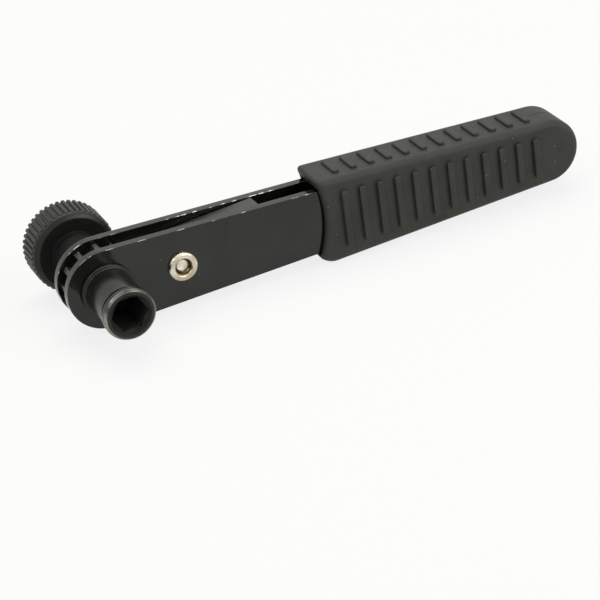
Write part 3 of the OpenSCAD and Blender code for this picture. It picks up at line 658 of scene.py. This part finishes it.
def makeGrip():
    grip = makeGripForm()
    space = makePlateSpace(plateLength, sleeveSizes["play"], sleeveSizes["sidePlay"])
    combine(grip, space, "DIFFERENCE")
    mouthEnd = gripSizes["front"] + sleeveSizes["mouthLength"]
    mouth = makePlateSpace(mouthEnd, sleeveSizes["mouthPlay"], sleeveSizes["mouthSidePlay"])
    combine(grip, mouth, "DIFFERENCE")
    combine(grip, makeRibs(), "UNION")
    combine(grip, makeSeamWire(), "DIFFERENCE")
    clearSlivers(grip)
    return grip


finishPiece(makeGrip(), [gripRubber], "frame", "grip_rubber", "grip")

# Inner pieces keep their imported shapes
# the ring inside the bore takes the bore's painted shade
innerFinishes = {"pivot_bush": bareSteel, "bit_retaining_ring": boreShadeSteel, "thrust_washer": gearSteel,
                 "retaining_clip": gearSteel, "detent_spring": bareSteel, "spacer_block": bareSteel,
                 "block_rivets": bareSteel, "rear_spacer": bareSteel, "rear_rivet": bareSteel}
for node, finish in innerFinishes.items():
    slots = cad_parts[node].data.materials
    slots.clear()
    slots.append(finish)
print("inner pieces finished")


# Floor, world and lamps
def seenDirectly(tree):  # one for camera, mirror and glass rays, nought for those that light the object
    rays = tree.nodes.new("ShaderNodeLightPath")
    seen = rays.outputs["Is Camera Ray"]
    for kind in ("Is Glossy Ray", "Is Transmission Ray"):
        either = tree.nodes.new("ShaderNodeMath")
        either.operation = "MAXIMUM"
        tree.links.new(seen, either.inputs[0])
        tree.links.new(rays.outputs[kind], either.inputs[1])
        seen = either.outputs["Value"]
    return seen


floorSizes = {"half": 1.6, "colour": (0.86, 0.86, 0.86), "rough": 0.8, "glow": 0.82}


def makeFloor():
    bm = bmesh.new()
    bmesh.ops.create_grid(bm, x_segments=1, y_segments=1, size=floorSizes["half"])
    bmesh.ops.translate(bm, verts=bm.verts, vec=(0, 0, cadBox[0][2]))
    floor = makeObject("floor", bm)
    finish = bpy.data.materials.new("white floor")
    finish.use_nodes = True
    tree = finish.node_tree
    shader = tree.nodes["Principled BSDF"]
    shader.inputs["Base Color"].default_value = (*floorSizes["colour"], 1)
    shader.inputs["Roughness"].default_value = floorSizes["rough"]
    glow = tree.nodes.new("ShaderNodeEmission")
    mix = tree.nodes.new("ShaderNodeMixShader")
    tree.links.new(spread(tree, seenDirectly(tree), (0, 1), (0, floorSizes["glow"])), mix.inputs["Fac"])
    tree.links.new(shader.outputs["BSDF"], mix.inputs[1])
    tree.links.new(glow.outputs["Emission"], mix.inputs[2])
    tree.links.new(mix.outputs["Shader"], tree.nodes["Material Output"].inputs["Surface"])
    floor.data.materials.append(finish)


makeFloor()
worldLight = {"ambient": 0.25, "seen": 1.0}


def makeWorld():
    world = bpy.data.worlds.new("studio")
    bpy.context.scene.world = world
    world.use_nodes = True
    tree = world.node_tree
    background = tree.nodes["Background"]
    background.inputs["Color"].default_value = (1, 1, 1, 1)
    strength = spread(tree, seenDirectly(tree), (0, 1), (worldLight["ambient"], worldLight["seen"]))
    tree.links.new(strength, background.inputs["Strength"])


makeWorld()

lampPlaces = {
    "softboxAbove": {"at": (0.10, 0.20, 0.70), "to": (0.045, 0.016, 0), "size": (0.8, 0.6), "watts": 3.8,
                     "colour": (1.0, 1.0, 0.90)},
    "softboxFront": {"at": (0.45, -0.55, 0.35), "to": (0.045, 0.016, 0), "size": (0.5, 0.4), "watts": 2.3},
    "smallLamp": {"at": (-0.52, -0.25, 0.55), "to": (0.0, 0.0, 0), "size": (0.12, 0.12), "watts": 0.8},
}


def makeLamp(name, lamp):
    light = bpy.data.lights.new(name, "AREA")
    light.shape = "RECTANGLE"
    light.size, light.size_y = lamp["size"]
    light.energy = lamp["watts"]
    light.color = lamp.get("colour", (1, 1, 1))
    holder = bpy.data.objects.new(name, light)
    bpy.context.scene.collection.objects.link(holder)
    aim = Vector(lamp["to"]) - Vector(lamp["at"])
    turn = aim.to_track_quat("-Z", "Y").to_matrix().to_4x4()
    holder.matrix_world = Matrix.Translation(lamp["at"]) @ turn


for lampName, lamp in lampPlaces.items():
    makeLamp(lampName, lamp)

# Camera solved from the tool's own edges, its place in millimetres
cameraFacts = {"at": (-110.33, -388.25, 213.18), "right": (0.90472, -0.40697, -0.12598),
               "up": (0.29602, 0.38782, 0.87291), "lens": 147.415, "sensor": 36, "clip": (0.01, 20)}


def makeCamera():
    camera = bpy.data.objects.new("camera", bpy.data.cameras.new("camera"))
    bpy.context.scene.collection.objects.link(camera)
    right = Vector(cameraFacts["right"]).normalized()
    back = right.cross(Vector(cameraFacts["up"])).normalized()
    turn = Matrix((right, back.cross(right), back)).transposed().to_4x4()
    camera.matrix_world = Matrix.Translation(Vector(cameraFacts["at"]) * mm) @ turn
    camera.data.sensor_width = cameraFacts["sensor"]
    camera.data.lens = cameraFacts["lens"]
    camera.data.clip_start, camera.data.clip_end = cameraFacts["clip"]
    bpy.context.scene.camera = camera


makeCamera()
bpy.context.scene.view_settings.view_transform = "Standard"
print("stage set")

bpy.context.view_layer.update()
